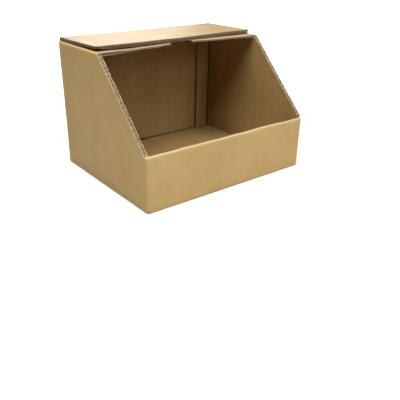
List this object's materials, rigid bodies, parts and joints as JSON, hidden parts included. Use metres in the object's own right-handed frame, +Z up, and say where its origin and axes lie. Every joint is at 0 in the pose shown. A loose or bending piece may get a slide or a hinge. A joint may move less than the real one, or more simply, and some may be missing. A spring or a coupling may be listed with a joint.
{
  "type": "open-front corrugated stacking bin",
  "caption": "Open-front cardboard stacking bin folded from double-wall corrugated board, with sloping sides, a doubled front lip and a hinged back flap lying over the side flaps as a level top.",
  "frame": {"origin": "middle of the footprint, on the surface the bin stands on", "axes": "+X across the opening, towards the glued back corner's side; +Y from the open front to the back; +Z up"},
  "size_m": [0.4, 0.322, 0.271],
  "materials": {
    "kraft_board": "matt brown kraft liner"
  },
  "bodies": {
    "bin": {"bin_body": "kraft_board"},
    "top_flap": {"top_flap": "kraft_board"}
  },
  "joints": [
    {"name": "top_flap_fold", "type": "hinge", "parent": "bin", "child": "top_flap", "pos_m": [0, 0.161, 0.271], "axis": [-1, 0, 0], "range_deg": [0, 250]}
  ]
}
